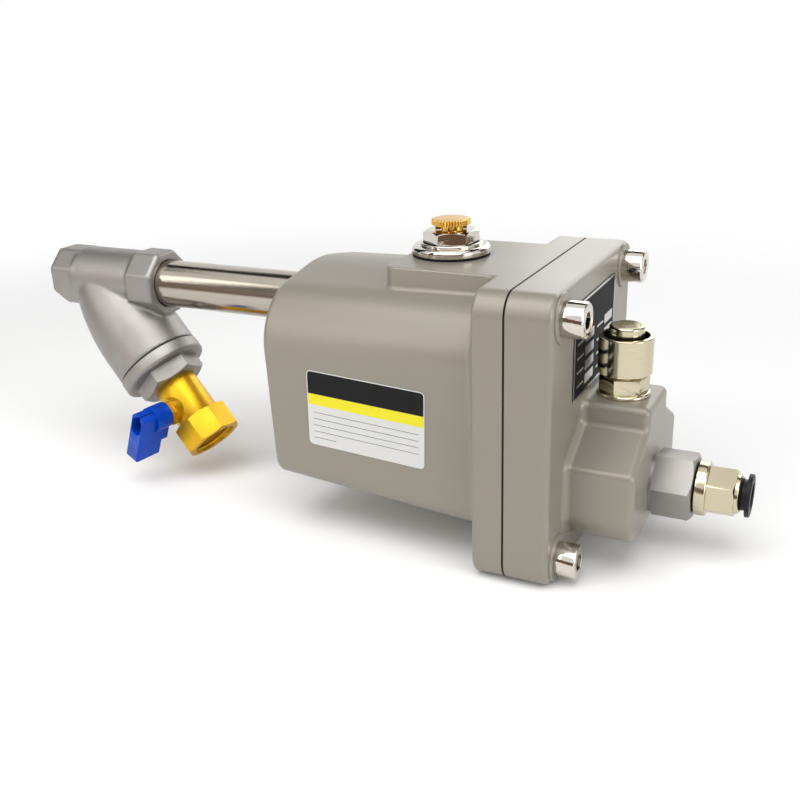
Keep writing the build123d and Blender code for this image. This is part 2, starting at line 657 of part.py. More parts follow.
with BuildPart() as cover:
    flange_block(cover_back_x, cover_front_x)
    fillet(cover.faces().sort_by(Axis.X)[-1].edges(), COVER_EDGE_R)
    extrude(boss_profile(), amount=BOSS_LENGTH)
    fillet(cover.faces().sort_by(Axis.X)[-1].edges(), BOSS_EDGE_R - AIR_GAP)
    fillet(edges_at(cover, Axis.X, cover_front_x).filter_by(on_boss), BOSS_SEAM_R)
    with BuildSketch(cross_section(cover_front_x)):
        with Locations(*screw_places):
            Circle(SCREW_PAD_R)
    extrude(amount=SCREW_PAD_T)
    pad_rims = edges_at(cover, Axis.X, cover_front_x + SCREW_PAD_T).filter_by(GeomType.CIRCLE)
    fillet(pad_rims, SCREW_PAD_EDGE)
    with BuildSketch(cross_section(cover_back_x)):
        with Locations((0, (RECESS_TOP + RECESS_FOOT) / 2)):
            RectangleRounded(2 * RECESS_HALF, RECESS_TOP - RECESS_FOOT, RECESS_R)
    extrude(amount=RECESS_DEPTH, mode=Mode.SUBTRACT)
    screw_holes(SCREW_R + AIR_GAP, cover_back_x, cover_front_x + SCREW_PAD_T)
    disc(boss_top_plane, BUTTON_THREAD_R, -BUTTON_THREAD_T, 0, mode=Mode.SUBTRACT)
    disc(valve_plane, CYLINDER_R, CYLINDER_FOOT, BOSS_TOP - BUTTON_THREAD_T, mode=Mode.SUBTRACT)
    disc(valve_plane, CHAMBER_R, CHAMBER_FOOT, CYLINDER_FOOT, mode=Mode.SUBTRACT)
    disc(outlet_plane, OUTLET_THREAD_R, -OUTLET_THREAD_T, 0, mode=Mode.SUBTRACT)
    disc(outlet_plane, OUTLET_PASSAGE_R, -VALVE_AXIS_BACK, 0, mode=Mode.SUBTRACT)
    feed_plane = Plane(origin=(recess_x, 0, FEED_Z), x_dir=(0, 1, 0), z_dir=(1, 0, 0))
    disc(feed_plane, FEED_R, 0, valve_axis_x - recess_x, mode=Mode.SUBTRACT)
    disc(nozzle_plane, NOZZLE_R, 0, NOZZLE_DEPTH, mode=Mode.SUBTRACT)
    disc(nozzle_plane, PILOT_PASSAGE_R, 0, valve_axis_x - recess_x, mode=Mode.SUBTRACT)
    with BuildSketch(recess_plane):
        with Locations((-BRACKET_SCREW_Y, PIVOT_Z), (BRACKET_SCREW_Y, PIVOT_Z)):
            Circle(BRACKET_SCREW_R)
    extrude(amount=BRACKET_SCREW_LENGTH - BRACKET_PLATE_T, mode=Mode.SUBTRACT)
save(cover.part, "cover")

screw_seat_x = cover_front_x + SCREW_PAD_T
screw_tip_x = flange_back_x + EDGE
with BuildPart() as cover_screws:
    for y, z in screw_places:
        seat = Plane(origin=(screw_seat_x, y, z), x_dir=(0, 1, 0), z_dir=(1, 0, 0))
        disc(seat, SCREW_HEAD_R, 0, SCREW_HEAD_T)
        disc(seat, SCREW_R - RUN_FIT, screw_tip_x - screw_seat_x, 0)
        with BuildSketch(seat.offset(SCREW_HEAD_T)):
            RegularPolygon(SCREW_SOCKET_AF / 2, 6, major_radius=False)
        extrude(amount=-SCREW_SOCKET_T, mode=Mode.SUBTRACT)
    rims = cover_screws.edges().filter_by(GeomType.CIRCLE).filter_by(lambda edge: edge.radius == SCREW_HEAD_R)
    chamfer(rims.group_by(Axis.X)[-1], EDGE / 2)
save(cover_screws.part, "cover_screws")

# --------------------------------------------------------------- main valve
seat_foot = SEAT_TOP - SEAT_INSERT_T
with BuildPart() as seat_insert:
    disc(valve_plane, CHAMBER_R, seat_foot, SEAT_TOP)
    disc(valve_plane, SEAT_BORE_R, seat_foot, SEAT_TOP, mode=Mode.SUBTRACT)
save(seat_insert.part, "seat_insert")

piston_foot = PISTON_TOP - PISTON_T
piston_r = CYLINDER_R - RUN_FIT
with BuildPart() as piston:
    disc(valve_plane, piston_r, piston_foot, PISTON_TOP)
    groove_foot = (PISTON_TOP + piston_foot - PISTON_GROOVE) / 2
    with BuildSketch(valve_plane.offset(groove_foot)):
        Circle(piston_r)
        Circle(piston_r - PISTON_GROOVE, mode=Mode.SUBTRACT)
    extrude(amount=PISTON_GROOVE, mode=Mode.SUBTRACT)
    disc(valve_plane, ROD_R, piston_foot, PISTON_TOP, mode=Mode.SUBTRACT)
save(piston.part, "piston")

with BuildPart() as piston_ring:
    with BuildSketch(valve_plane.offset(groove_foot)):
        Circle(piston_r)
        Circle(piston_r - PISTON_GROOVE, mode=Mode.SUBTRACT)
    extrude(amount=PISTON_GROOVE)
save(piston_ring.part, "piston_ring")

poppet_top = seat_foot - AIR_GAP
with BuildPart() as valve_rod:
    disc(valve_plane, ROD_R, poppet_top, PISTON_TOP)
    disc(valve_plane, POPPET_R, poppet_top - POPPET_SEAL_T - POPPET_T, poppet_top - POPPET_SEAL_T)
    disc(valve_plane, ROD_R, poppet_top - POPPET_SEAL_T, poppet_top)
save(valve_rod.part, "valve_rod")

with BuildPart() as poppet_seal:
    disc(valve_plane, POPPET_R, poppet_top - POPPET_SEAL_T, poppet_top)
    disc(valve_plane, ROD_R, poppet_top - POPPET_SEAL_T, poppet_top, mode=Mode.SUBTRACT)
save(poppet_seal.part, "poppet_seal")

poppet_foot = poppet_top - POPPET_SEAL_T - POPPET_T
return_height = poppet_foot - CHAMBER_FOOT - AIR_GAP
return_seat = valve_plane.offset(CHAMBER_FOOT)
return_path = coil_path(return_seat, RETURN_SPRING_R, WIRE_R, return_height, RETURN_TURNS)
with BuildPart() as return_spring:
    with BuildSketch(Plane(origin=return_path @ 0, z_dir=return_path % 0)):
        Circle(WIRE_R)
    sweep(path=return_path, is_frenet=True)
save(return_spring.part, "return_spring")

# --------------------------------------------------------------- test button
with BuildPart() as button_base:
    disc(boss_top_plane, BASE_FLANGE_R, 0, BASE_FLANGE_T)
    fillet(button_base.faces().sort_by(Axis.Z)[-1].edges(), EDGE)
    base_hex_top = BASE_FLANGE_T + BASE_HEX_T
    hex_prism(boss_top_plane, BASE_HEX_AF, BASE_FLANGE_T, base_hex_top, turn=BASE_HEX_TURN)
    disc(boss_top_plane, BUTTON_THREAD_R - RUN_FIT, -BUTTON_THREAD_T, 0)
    disc(boss_top_plane, SPIGOT_R, base_hex_top, base_hex_top + SPIGOT_T)
    spigot_top = base_hex_top + SPIGOT_T
    disc(boss_top_plane, BUTTON_STEM_R + RUN_FIT, -BUTTON_THREAD_T, spigot_top, mode=Mode.SUBTRACT)
save(button_base.part, "button_base")

sleeve_top = base_hex_top + SLEEVE_T
button_foot = sleeve_top + BUTTON_PROUD - BUTTON_T
with BuildPart() as button_sleeve:
    disc(boss_top_plane, SLEEVE_R, base_hex_top, sleeve_top)
    chamfer(button_sleeve.faces().sort_by(Axis.Z)[0].edges(), SLEEVE_CHAMFER)
    fillet(button_sleeve.faces().sort_by(Axis.Z)[-1].edges(), SLEEVE_WALL / 3)
    disc(boss_top_plane, SLEEVE_R - SLEEVE_WALL, base_hex_top + SPIGOT_T, sleeve_top, mode=Mode.SUBTRACT)
    disc(boss_top_plane, SPIGOT_R, base_hex_top, base_hex_top + SPIGOT_T, mode=Mode.SUBTRACT)
save(button_sleeve.part, "button_sleeve")

with BuildPart() as push_button:
    disc(boss_top_plane, BUTTON_R, button_foot, sleeve_top + BUTTON_PROUD)
    fillet(push_button.faces().sort_by(Axis.Z)[-1].edges(), EDGE)
    disc(boss_top_plane, BUTTON_STEM_R, button_foot, button_foot + BUTTON_T / 2, mode=Mode.SUBTRACT)
save(push_button.part, "push_button")

with BuildPart() as button_stem:
    stem_foot = PISTON_TOP + AIR_GAP - BOSS_TOP
    disc(boss_top_plane, BUTTON_STEM_R, stem_foot, button_foot + BUTTON_T / 2)
save(button_stem.part, "button_stem")

button_spring_height = button_foot - base_hex_top - SPIGOT_T - AIR_GAP
spring_seat = boss_top_plane.offset(base_hex_top + SPIGOT_T)
button_path = coil_path(spring_seat, BUTTON_SPRING_R, BUTTON_WIRE_R, button_spring_height, BUTTON_TURNS)
with BuildPart() as button_spring:
    with BuildSketch(Plane(origin=button_path @ 0, z_dir=button_path % 0)):
        Circle(BUTTON_WIRE_R)
    sweep(path=button_path, is_frenet=True)
save(button_spring.part, "button_spring")

# ------------------------------------------------- outlet adapter and fitting
adapter_front = ADAPTER_SEAL_T + ADAPTER_LENGTH
with BuildPart() as adapter_seal:
    disc(outlet_plane, ADAPTER_SEAL_R, 0, ADAPTER_SEAL_T)
    disc(outlet_plane, OUTLET_THREAD_R, 0, ADAPTER_SEAL_T, mode=Mode.SUBTRACT)
save(adapter_seal.part, "adapter_seal")

with BuildPart() as outlet_adapter:
    hex_prism(outlet_plane, ADAPTER_AF, ADAPTER_SEAL_T, adapter_front, turn=ADAPTER_TURN)
    turned_corners(outlet_plane, ADAPTER_AF, adapter_front, into=-1)
    disc(outlet_plane, OUTLET_THREAD_R - RUN_FIT, -OUTLET_THREAD_T, ADAPTER_SEAL_T)
    disc(outlet_plane, ADAPTER_BORE_R, -OUTLET_THREAD_T, adapter_front, mode=Mode.SUBTRACT)
    disc(outlet_plane, FITTING_THREAD_R, adapter_front - FITTING_THREAD_T, adapter_front, mode=Mode.SUBTRACT)
save(outlet_adapter.part, "outlet_adapter")

with BuildPart() as fitting_seal:
    disc(outlet_plane, FITTING_SEAL_R, adapter_front, adapter_front + FITTING_SEAL_T)
    disc(outlet_plane, FITTING_THREAD_R, adapter_front, adapter_front + FITTING_SEAL_T, mode=Mode.SUBTRACT)
save(fitting_seal.part, "fitting_seal")

fitting_start = adapter_front + FITTING_SEAL_T
hex_start = fitting_start + FITTING_RING_T
nose_start = hex_start + FITTING_HEX_T
nose_end = nose_start + FITTING_NOSE_T
seal_start = nose_end - TUBE_DEPTH + SEAL_SHELF
with BuildPart() as fitting_body:
    disc(outlet_plane, FITTING_RING_R, fitting_start, hex_start)
    fillet(fitting_body.faces().sort_by(Axis.X)[-1].edges(), EDGE)
    hex_prism(outlet_plane, FITTING_AF, hex_start, nose_start, turn=FITTING_TURN)
    turned_corners(outlet_plane, FITTING_AF, nose_start, into=-1)
    disc(outlet_plane, FITTING_NOSE_R, nose_start, nose_end)
    chamfer(fitting_body.faces().sort_by(Axis.X)[-1].edges(), EDGE)
    disc(outlet_plane, FITTING_THREAD_R - RUN_FIT, adapter_front - FITTING_THREAD_T, fitting_start)
    disc(outlet_plane, ADAPTER_BORE_R, adapter_front - FITTING_THREAD_T, nose_end, mode=Mode.SUBTRACT)
    disc(outlet_plane, TUBE_R, nose_end - TUBE_DEPTH, nose_end, mode=Mode.SUBTRACT)
    disc(outlet_plane, TUBE_SEAL_R, seal_start, nose_end, mode=Mode.SUBTRACT)
save(fitting_body.part, "fitting_body")

with BuildPart() as tube_seal:
    disc(outlet_plane, TUBE_SEAL_R, seal_start, seal_start + TUBE_SEAL_T)
    disc(outlet_plane, TUBE_R, seal_start, seal_start + TUBE_SEAL_T, mode=Mode.SUBTRACT)
save(tube_seal.part, "tube_seal")

with BuildPart() as grab_ring:
    grab_start = seal_start + TUBE_SEAL_T
    disc(outlet_plane, GRAB_RING_R, grab_start, grab_start + GRAB_RING_T)
    disc(outlet_plane, TUBE_R, grab_start, grab_start + GRAB_RING_T, mode=Mode.SUBTRACT)
save(grab_ring.part, "grab_ring")

collar_foot = grab_start + GRAB_RING_T + COLLAR_GAP
with BuildPart() as release_collar:
    disc(outlet_plane, COLLAR_SLEEVE_R, collar_foot, nose_end + COLLAR_GAP)
    disc(outlet_plane, COLLAR_DISC_R, nose_end + COLLAR_GAP, nose_end + COLLAR_GAP + COLLAR_DISC_T)
    fillet(release_collar.faces().sort_by(Axis.X)[-1].edges(), EDGE / 2)
    disc(outlet_plane, TUBE_R, collar_foot, nose_end + COLLAR_GAP + COLLAR_DISC_T, mode=Mode.SUBTRACT)
save(release_collar.part, "release_collar")

# ----------------------------------------------------------------- vent plug
vent_plane = Plane(origin=(vent_x, 0, pad_top_z))
vent_flange_top = VENT_SEAL_T + VENT_FLANGE_T
vent_hex_top = vent_flange_top + VENT_HEX_T
with BuildPart() as vent_seal:
    disc(vent_plane, VENT_SEAL_R, 0, VENT_SEAL_T)
    disc(vent_plane, VENT_THREAD_R, 0, VENT_SEAL_T, mode=Mode.SUBTRACT)
save(vent_seal.part, "vent_seal")

with BuildPart() as vent_plug:
    disc(vent_plane, VENT_FLANGE_R, VENT_SEAL_T, vent_flange_top)
    fillet(vent_plug.faces().sort_by(Axis.Z)[-1].edges(), VENT_FLANGE_DOME)
    hex_prism(vent_plane, VENT_HEX_AF, vent_flange_top, vent_hex_top, turn=VENT_HEX_TURN)
    turned_corners(vent_plane, VENT_HEX_AF, vent_hex_top, into=-1)
    disc(vent_plane, VENT_THREAD_R - RUN_FIT, -VENT_THREAD_T, VENT_SEAL_T)
    vent_seat = vent_hex_top - VENT_SCREW_DEPTH
    disc(vent_plane, VENT_SCREW_R + RUN_FIT, vent_seat, vent_hex_top, mode=Mode.SUBTRACT)
    disc(vent_plane, VENT_BORE_R, -VENT_THREAD_T, vent_hex_top, mode=Mode.SUBTRACT)
save(vent_plug.part, "vent_plug")

neck_start = vent_hex_top + AIR_GAP
with BuildPart() as vent_screw:
    disc(vent_plane, VENT_NECK_R, neck_start, neck_start + VENT_NECK_T)
    for slot in range(VENT_SLOTS // 2):
        with BuildSketch(vent_plane.offset(neck_start)):
            Rectangle(2 * VENT_HEAD_R, VENT_SLOT_WIDTH, rotation=360 / VENT_SLOTS * slot)
        extrude(amount=VENT_NECK_T, mode=Mode.SUBTRACT)
    disc(vent_plane, VENT_HEAD_R, neck_start + VENT_NECK_T, neck_start + VENT_NECK_T + VENT_HEAD_T)
    fillet(vent_screw.faces().sort_by(Axis.Z)[-1].edges(), EDGE / 2)
    disc(vent_plane, VENT_SCREW_R, vent_hex_top - VENT_SCREW_DEPTH + AIR_GAP, neck_start + VENT_NECK_T)
save(vent_screw.part, "vent_screw")

# ---------------------------------------------------------------- float gear
pivot_x = recess_x - PIVOT_X_BACK
pivot_plane = Plane(origin=(pivot_x, 0, PIVOT_Z), x_dir=(1, 0, 0), z_dir=(0, 1, 0))
arm_dir = Vector(-cos(radians(ARM_DROP)), 0, -sin(radians(ARM_DROP)))
arm_plane = Plane(origin=(pivot_x, 0, PIVOT_Z), x_dir=(0, 1, 0), z_dir=arm_dir)
ear_out = EAR_GAP / 2 + EAR_T

with BuildPart() as float_bracket:
    with BuildSketch(recess_plane):
        with Locations((0, PIVOT_Z)):
            Rectangle(2 * BRACKET_PLATE_HALF, BRACKET_PLATE_HEIGHT)
            with Locations((-BRACKET_SCREW_Y, 0), (BRACKET_SCREW_Y, 0)):
                Circle(BRACKET_SCREW_R, mode=Mode.SUBTRACT)
    extrude(amount=-BRACKET_PLATE_T)
    for side in (-1, 1):
        with BuildSketch(pivot_plane.offset(side * ear_out)):
            Circle(EAR_R)
            with Locations((PIVOT_X_BACK / 2, 0)):
                Rectangle(PIVOT_X_BACK, 2 * EAR_R)
        extrude(amount=-side * EAR_T)
    disc(pivot_plane, PIVOT_R, -ear_out, ear_out, mode=Mode.SUBTRACT)
save(float_bracket.part, "float_bracket")

with BuildPart() as bracket_screws:
    for y in (-BRACKET_SCREW_Y, BRACKET_SCREW_Y):
        seat = Plane(origin=(recess_x - BRACKET_PLATE_T, y, PIVOT_Z), x_dir=(0, 1, 0), z_dir=(-1, 0, 0))
        disc(seat, BRACKET_SCREW_HEAD_R, 0, BRACKET_SCREW_HEAD_T)
        disc(seat, BRACKET_SCREW_R, -BRACKET_SCREW_LENGTH, 0)
        with BuildSketch(seat.offset(BRACKET_SCREW_HEAD_T)):
            Rectangle(2 * BRACKET_SCREW_HEAD_R, BRACKET_SCREW_HEAD_T / 3)
        extrude(amount=-BRACKET_SCREW_HEAD_T / 2, mode=Mode.SUBTRACT)
save(bracket_screws.part, "bracket_screws")

with BuildPart() as pivot_pin:
    disc(pivot_plane, PIVOT_R, -ear_out, ear_out)
save(pivot_pin.part, "pivot_pin")

float_at = ARM_LENGTH
with BuildPart() as float_arm:
    disc(pivot_plane, HUB_R, AIR_GAP - EAR_GAP / 2, EAR_GAP / 2 - AIR_GAP)
    disc(arm_plane, ARM_R, 0, float_at - FLOAT_R + FLOAT_SOCKET_T)
    pilot_reach = PILOT_DROP + PILOT_PAD_R
    with BuildSketch(Plane.XY.offset(PIVOT_Z - pilot_reach)):
        with Locations((pivot_x, 0)):
            Rectangle(2 * ARM_R, 2 * PILOT_PAD_R)
    extrude(amount=pilot_reach)
    disc(pivot_plane, PIVOT_R + RUN_FIT, -EAR_GAP / 2, EAR_GAP / 2, mode=Mode.SUBTRACT)
save(float_arm.part, "float_arm")

pad_start = pivot_x + ARM_R
pad_plane = Plane(origin=(pad_start, 0, nozzle_z), x_dir=(0, 1, 0), z_dir=(1, 0, 0))
with BuildPart() as pilot_pad:
    disc(pad_plane, PILOT_PAD_R, 0, PILOT_PAD_T)
save(pilot_pad.part, "pilot_pad")

with BuildPart() as pilot_nozzle:
    nozzle_tip = pad_start + PILOT_PAD_T + AIR_GAP - recess_x
    disc(nozzle_plane, NOZZLE_R, 0, NOZZLE_DEPTH)
    disc(nozzle_plane, NOZZLE_R, nozzle_tip / 2, 0)
    disc(nozzle_plane, NOZZLE_TIP_R, nozzle_tip, nozzle_tip / 2)
    disc(nozzle_plane, NOZZLE_BORE_R, nozzle_tip, NOZZLE_DEPTH, mode=Mode.SUBTRACT)
save(pilot_nozzle.part, "pilot_nozzle")

with BuildPart() as float_ball:
    float_plane = arm_plane.offset(float_at)
    with Locations(float_plane):
        Sphere(FLOAT_R)
        Sphere(FLOAT_R - FLOAT_WALL, mode=Mode.SUBTRACT)
    disc(arm_plane, FLOAT_SOCKET_R, float_at - FLOAT_R - EDGE, float_at - FLOAT_R + FLOAT_SOCKET_T)
    disc(arm_plane, ARM_R, float_at - FLOAT_R - EDGE, float_at - FLOAT_R + FLOAT_SOCKET_T, mode=Mode.SUBTRACT)
    split(bisect_by=float_plane, keep=Keep.BOTH)
save(float_ball.part, "float_ball")

# ------------------------------------------------------------ plate and label
with BuildPart() as nameplate:
    with BuildSketch(cross_section(cover_front_x)):
        with Locations((0, PLATE_Z)):
            RectangleRounded(2 * PLATE_HALF_Y, 2 * PLATE_HALF_Z, PLATE_CORNER_R)
    extrude(amount=PLATE_T)
save(nameplate.part, "nameplate")

label_x = rear_x + LABEL_BACK
side_normal = Vector(-SIDE_DRAFT, -1, -SIDE_LEAN).normalized()
side_along = Vector(1, -SIDE_DRAFT, 0).normalized().rotate(Axis((0, 0, 0), side_normal), LABEL_TILT)
label_plane = Plane(
    origin=(label_x, -side_half(label_x, LABEL_Z), LABEL_Z), x_dir=side_along, z_dir=side_normal
)
with BuildPart() as side_label:
    with BuildSketch(label_plane):
        RectangleRounded(LABEL_LENGTH, LABEL_HEIGHT, LABEL_CORNER_R)
    extrude(amount=LABEL_T)
save(side_label.part, "side_label")
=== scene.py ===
# %% [markdown]
# # An automatic drain valve
# A compressed-air drain: a Y-strainer with a little ball valve, a pipe nipple, and
# a float chamber behind a bolted cover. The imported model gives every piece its
# place and its joint, so this lesson only gives each one its surface, in metres.

# %% Load the fixed frame
import json
import math

import bmesh
import bpy
import numpy as np
from mathutils import Matrix, Vector


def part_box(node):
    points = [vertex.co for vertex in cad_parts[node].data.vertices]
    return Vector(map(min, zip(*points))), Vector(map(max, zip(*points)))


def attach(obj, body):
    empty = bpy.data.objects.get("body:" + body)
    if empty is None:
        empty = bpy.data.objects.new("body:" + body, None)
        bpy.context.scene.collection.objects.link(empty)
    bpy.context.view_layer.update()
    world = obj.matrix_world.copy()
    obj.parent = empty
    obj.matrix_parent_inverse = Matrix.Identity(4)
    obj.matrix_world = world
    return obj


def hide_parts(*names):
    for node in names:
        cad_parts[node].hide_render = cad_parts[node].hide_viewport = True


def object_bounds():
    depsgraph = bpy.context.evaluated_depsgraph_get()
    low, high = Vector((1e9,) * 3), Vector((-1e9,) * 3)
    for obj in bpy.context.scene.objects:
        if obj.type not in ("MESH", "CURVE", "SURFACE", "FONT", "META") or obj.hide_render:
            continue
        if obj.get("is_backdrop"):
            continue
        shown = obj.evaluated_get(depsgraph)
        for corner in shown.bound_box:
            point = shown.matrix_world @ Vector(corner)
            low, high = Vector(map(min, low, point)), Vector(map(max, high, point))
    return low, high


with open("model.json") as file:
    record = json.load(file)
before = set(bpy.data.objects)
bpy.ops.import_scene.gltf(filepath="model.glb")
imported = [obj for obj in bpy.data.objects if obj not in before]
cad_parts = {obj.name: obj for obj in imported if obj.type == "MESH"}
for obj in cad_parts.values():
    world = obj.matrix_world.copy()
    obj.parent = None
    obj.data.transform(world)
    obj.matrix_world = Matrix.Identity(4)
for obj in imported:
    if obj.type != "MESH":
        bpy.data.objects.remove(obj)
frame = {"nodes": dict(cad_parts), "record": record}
cad_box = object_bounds()
nodes = frame["nodes"]
mounts = {mount["name"]: mount for mount in frame["record"]["mounts"]}
joints = {joint["name"]: joint for joint in frame["record"]["behaviour"]["joints"]}
slot_of = {part["node"]: part["material_slot"] for part in frame["record"]["subparts"]}
body_of = {node: body for body, held in frame["record"]["behaviour"]["bodies"].items() for node in held}
MM = 0.001

# %% [markdown]
# ## Camera
# The camera comes first, because every surface is judged through it. Its rows are
# three directions at right angles: right, up and back.

# %% Place the camera
CAMERA_AT = Vector((0.3566, -0.34865, 0.1102))
CAMERA_FORWARD = Vector((-0.42431, 0.83033, -0.36126)).normalized()
CAMERA_RIGHT = Vector((0.89572, 0.44339, -0.03293))
CAMERA_LENS = 44.15

camera = bpy.data.objects.new("camera", bpy.data.cameras.new("camera"))
camera.data.lens = CAMERA_LENS
camera.data.sensor_width = 36.0
camera.data.clip_start = 0.01
right = (CAMERA_RIGHT - CAMERA_FORWARD * CAMERA_RIGHT.dot(CAMERA_FORWARD)).normalized()
up = right.cross(CAMERA_FORWARD)
turn = Matrix((right, up, -CAMERA_FORWARD)).transposed()
camera.matrix_world = Matrix.Translation(CAMERA_AT) @ turn.to_4x4()
bpy.context.scene.collection.objects.link(camera)
bpy.context.scene.camera = camera
bpy.context.scene.view_settings.view_transform = "Standard"
print("camera at", tuple(camera.location))

# %% [markdown]
# ## Surfaces from numbers
# Every new piece is a grid of points worked out with numpy: rows along one
# parameter, columns along the other. One helper turns such a grid into a mesh, so
# that each piece below is only its formula.

# %% A helper that turns a grid of points into a mesh
def grid_mesh(name, points, wrap_rows=False, wrap_columns=True, smooth=True, ends=True):
    """Quads between neighbours of a (rows, columns, 3) array.

    Columns wrap round a closed section and rows wrap round a closed ring. Rows
    that don't wrap are closed by one flat face at each end, unless ends is False.
    """
    rows, columns, _ = points.shape
    index = np.arange(rows * columns).reshape(rows, columns)
    here = index if wrap_rows else index[:-1]
    above = np.roll(index, -1, axis=0) if wrap_rows else index[1:]
    if wrap_columns:
        beside, above_beside = np.roll(here, -1, axis=1), np.roll(above, -1, axis=1)
    else:
        here, beside, above, above_beside = here[:, :-1], here[:, 1:], above[:, :-1], above[:, 1:]
    faces = np.stack([here, beside, above_beside, above], axis=-1).reshape(-1, 4).tolist()
    if ends and wrap_columns and not wrap_rows:
        faces += [index[0, ::-1].tolist(), index[-1].tolist()]
    mesh = bpy.data.meshes.new(name)
    mesh.from_pydata(points.reshape(-1, 3).tolist(), [], faces)
    mesh.shade_smooth() if smooth else mesh.shade_flat()
    return mesh


def outward(mesh):
    """Turns every face of a closed mesh to point out of it."""
    shell = bmesh.new()
    shell.from_mesh(mesh)
    bmesh.ops.recalc_face_normals(shell, faces=shell.faces)
    shell.to_mesh(mesh)
    shell.free()
    return mesh


# %% [markdown]
# ## Light
# A product table: one large soft lamp above, one at the camera's side and weak
# ones round it. Bare metal shows what stands about it, so curved cards hang out of
# sight and put into the plating the dark and warm bands of a real workshop. Only
# reflections see the cards, so the light on the paint stays plain.

# %% A helper that aims lamps
CENTRE = (Vector(cad_box[0]) + Vector(cad_box[1])) / 2
floor_z = cad_box[0][2]


def soft_lamp(name, place, size, power, colour=(1.0, 1.0, 1.0)):
    """A rectangular area lamp at a place from the object's middle, aimed at it."""
    data = bpy.data.lights.new(name, "AREA")
    data.shape = "RECTANGLE"
    data.size, data.size_y = size
    data.energy = power
    data.color = colour
    lamp = bpy.data.objects.new(name, data)
    look = (-Vector(place)).to_track_quat("-Z", "Y")
    lamp.matrix_world = Matrix.Translation(CENTRE + Vector(place)) @ look.to_matrix().to_4x4()
    bpy.context.scene.collection.objects.link(lamp)


# %% Hang the lamps
soft_lamp("top_lamp", (0.05, -0.30, 0.70), (0.9, 0.6), 4.6)
soft_lamp("side_lamp", (-0.55, -0.75, 0.35), (0.5, 0.8), 3.8, (1.0, 0.97, 0.93))
soft_lamp("front_lamp", (0.85, -0.25, 0.25), (0.4, 0.7), 3.6)
soft_lamp("back_lamp", (0.1, 0.8, 0.4), (0.7, 0.5), 1.8)

# %% The world: white to the camera and to metal, dim as a light
WORLD_DIM = 0.36
world = bpy.data.worlds.new("studio")
bpy.context.scene.world = world
world.use_nodes = True
tree = world.node_tree
tree.nodes.clear()
rays = tree.nodes.new("ShaderNodeLightPath")
dim = tree.nodes.new("ShaderNodeBackground")
dim.inputs["Strength"].default_value = WORLD_DIM
bright = tree.nodes.new("ShaderNodeBackground")
bright.inputs["Strength"].default_value = 1.0
for background in (dim, bright):
    background.inputs["Color"].default_value = (1, 1, 1, 1)
seen = tree.nodes.new("ShaderNodeMath")
seen.operation = "MAXIMUM"
pick = tree.nodes.new("ShaderNodeMixShader")
end = tree.nodes.new("ShaderNodeOutputWorld")
tree.links.new(rays.outputs["Is Camera Ray"], seen.inputs[0])
tree.links.new(rays.outputs["Is Glossy Ray"], seen.inputs[1])
tree.links.new(seen.outputs[0], pick.inputs[0])
tree.links.new(dim.outputs[0], pick.inputs[1])
tree.links.new(bright.outputs[0], pick.inputs[2])
tree.links.new(pick.outputs[0], end.inputs[0])
print("world strength", WORLD_DIM)


# %% Curved cards that only reflections see
def card(name, azimuth, spread, low, high, colour, reach=0.95):
    """A piece of a ball round the object: azimuth and elevation run over the grid in degrees."""
    around, rise = np.meshgrid(
        np.radians(np.linspace(azimuth - spread, azimuth + spread, 25)),
        np.radians(np.linspace(low, high, 9)),
    )
    points = np.stack([np.cos(rise) * np.cos(around), np.cos(rise) * np.sin(around), np.sin(rise)], -1)
    points = np.array(CENTRE) + reach * points
    points[..., 2] = np.maximum(points[..., 2], floor_z)
    board = bpy.data.objects.new(name, grid_mesh(name, points, wrap_columns=False))
    bpy.context.scene.collection.objects.link(board)
    board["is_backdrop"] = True
    for ray in ("visible_camera", "visible_diffuse", "visible_shadow", "visible_transmission"):
        setattr(board, ray, False)
    felt = bpy.data.materials.new(name)
    felt.use_nodes = True
    felt.node_tree.nodes["Principled BSDF"].inputs["Base Color"].default_value = (*colour, 1)
    felt.node_tree.nodes["Principled BSDF"].inputs["Roughness"].default_value = 0.9
    board.data.materials.append(felt)


BLACK_FELT = (0.012, 0.012, 0.012)
GREY_FELT = (0.16, 0.15, 0.14)
WARM_FELT = (0.22, 0.13, 0.085)
card("back_card", 90, 80, 44, 62, BLACK_FELT)
card("bench_card", -90, 75, -12, 16, WARM_FELT)
card("left_card", 172, 20, 2, 48, BLACK_FELT)
card("right_card", -18, 13, 4, 42, GREY_FELT)
card("near_card", -128, 9, 16, 58, BLACK_FELT)
card("far_card", 40, 14, 6, 38, GREY_FELT)

# %% [markdown]
# ## The table
# A round white sheet under the part. It is solid where the part stands, so the
# soft shadow falls on it, and it thins out to nothing further away, so no edge or
# horizon shows against the white room.

# %% Lay the table
TABLE_R = 1.1
TABLE_SOLID_R = 0.30
TABLE_CLEAR_R = 0.66
TABLE_STEPS = 64
around = np.linspace(0, 2 * np.pi, TABLE_STEPS + 1)[:-1]
rings = np.array([1e-4, 0.3, 0.6, TABLE_R])
sheet = np.stack([
    CENTRE.x + rings[:, None] * np.cos(around),
    CENTRE.y + rings[:, None] * np.sin(around),
    np.full((len(rings), len(around)), floor_z),
], -1)
flat = grid_mesh("table", sheet, ends=False)
table = bpy.data.objects.new("table", flat)
bpy.context.scene.collection.objects.link(table)
table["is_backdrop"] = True
paper = bpy.data.materials.new("white_paper")
paper.use_nodes = True
tree = paper.node_tree
sheet_shader = tree.nodes["Principled BSDF"]
sheet_shader.inputs["Base Color"].default_value = (0.93, 0.93, 0.93, 1)
sheet_shader.inputs["Roughness"].default_value = 0.9
sheet_shader.inputs["Specular IOR Level"].default_value = 0.0
place = tree.nodes.new("ShaderNodeTexCoord")
centred = tree.nodes.new("ShaderNodeMapping")
centred.inputs["Location"].default_value = (-CENTRE.x, -CENTRE.y, -floor_z)
